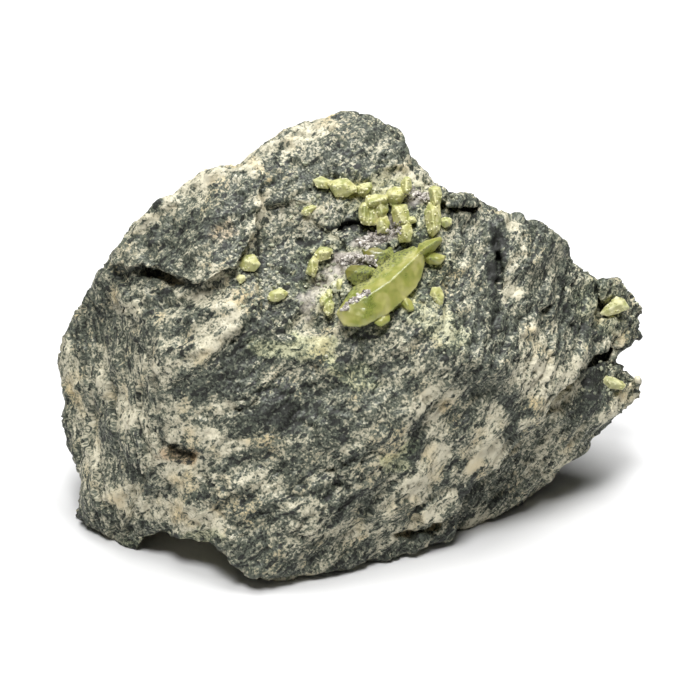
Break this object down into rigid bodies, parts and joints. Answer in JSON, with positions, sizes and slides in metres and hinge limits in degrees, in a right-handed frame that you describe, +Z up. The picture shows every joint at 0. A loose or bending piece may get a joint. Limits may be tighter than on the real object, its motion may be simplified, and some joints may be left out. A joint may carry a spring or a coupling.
{
  "type": "rough titanite on schist",
  "caption": "Hand specimen of grey-green chlorite schist, broken to a blunt wedge that rests on a flat base, with yellow-green titanite crystals seated on its upper front.",
  "frame": {"origin": "centre of the specimen's bounding box, on the surface that it rests on", "axes": "+Z up, +X along the specimen's length to the viewer's right, -Y towards the viewer and the crystals"},
  "size_m": [0.0708, 0.0472, 0.0463],
  "materials": {
    "schist": "rough broken schist, dark green-grey with pale feldspar streaks",
    "titanite": "translucent yellow-green crystal with a bright lustre"
  },
  "bodies": {
    "root": {"schist_matrix": "schist", "main_crystal": "titanite", "upper_crystal_cluster": "titanite", "right_crystal_cluster": "titanite", "top_left_crystals": "titanite", "upright_crystals": "titanite", "lower_left_crystals": "titanite", "left_crystal": "titanite", "small_left_crystal": "titanite", "shelf_crystal": "titanite", "pale_crystal": "titanite", "crystal_beside_large": "titanite", "right_crystal": "titanite", "upper_beak_crystal": "titanite", "lower_beak_crystal": "titanite"}
  },
  "joints": []
}
